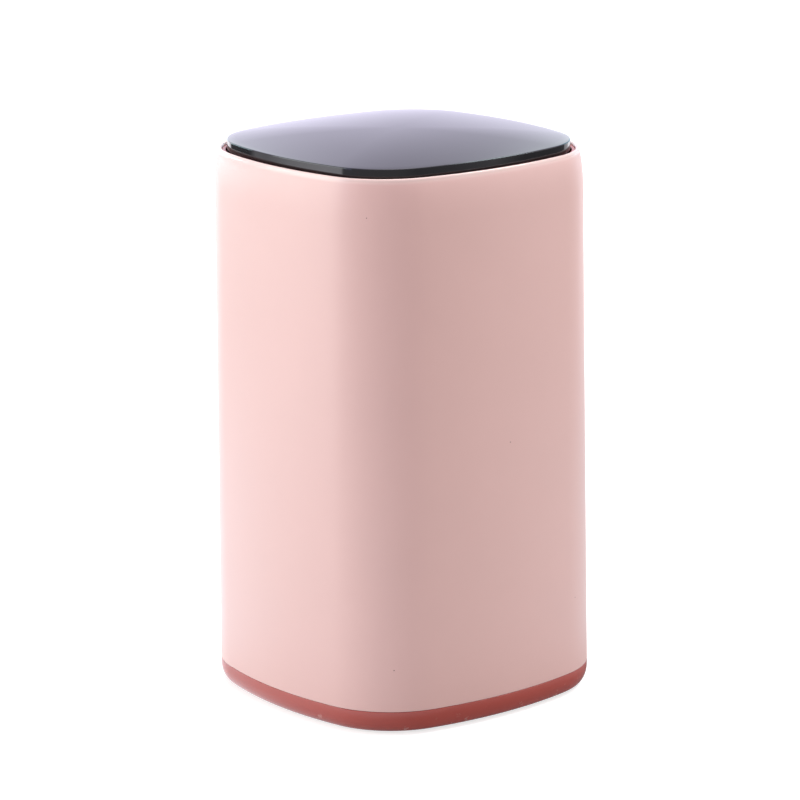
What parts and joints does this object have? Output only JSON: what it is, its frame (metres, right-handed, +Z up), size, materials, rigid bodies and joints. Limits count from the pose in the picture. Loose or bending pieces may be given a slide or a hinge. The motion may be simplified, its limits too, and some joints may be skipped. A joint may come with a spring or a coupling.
{
  "type": "toothpick dispenser",
  "caption": "Press-top toothpick dispenser: tall rounded-square case on a banded base, under a low domed lid that springs up with its tray of toothpicks.",
  "frame": {"origin": "centre of the footprint, on the surface that the four rubber pads stand on", "axes": "+Z up through the lid, +X and +Y square to the flat sides of the case"},
  "size_m": [0.0644, 0.0644, 0.1104],
  "materials": {
    "case_pink": "satin moulded",
    "plastic_wine": "satin moulded",
    "lid_gloss_black": "polished",
    "acetal_white": "moulded",
    "zinc_steel": "zinc plated",
    "spring_steel": "drawn wire",
    "rubber_pad": "matte"
  },
  "bodies": {
    "case_and_base": {"outer_shell": "case_pink", "inner_barrel": "plastic_wine", "base_tray": "plastic_wine", "guide_post": "acetal_white", "post_screw": "zinc_steel", "main_spring": "spring_steel", "latch_bracket": "acetal_white", "latch_wire": "spring_steel", "bracket_screw_1": "zinc_steel", "bracket_screw_2": "zinc_steel", "foot_pad_1": "rubber_pad", "foot_pad_2": "rubber_pad", "foot_pad_3": "rubber_pad", "foot_pad_4": "rubber_pad", "base_screw_1": "zinc_steel", "base_screw_2": "zinc_steel", "base_screw_3": "zinc_steel", "base_screw_4": "zinc_steel"},
    "lid_and_tray": {"lid_cap": "lid_gloss_black", "lid_insert": "plastic_wine", "lid_screw": "zinc_steel", "centre_column": "plastic_wine", "pick_tray": "plastic_wine", "tray_screw_1": "zinc_steel", "tray_screw_2": "zinc_steel", "cam_plate": "acetal_white", "cam_screw_1": "zinc_steel", "cam_screw_2": "zinc_steel"}
  },
  "joints": [
    {"name": "lid_lift", "type": "slide", "parent": "case_and_base", "child": "lid_and_tray", "axis": [0, 0, 1], "range_m": [-0.002, 0.042], "deforming": ["main_spring", "latch_wire"]}
  ]
}
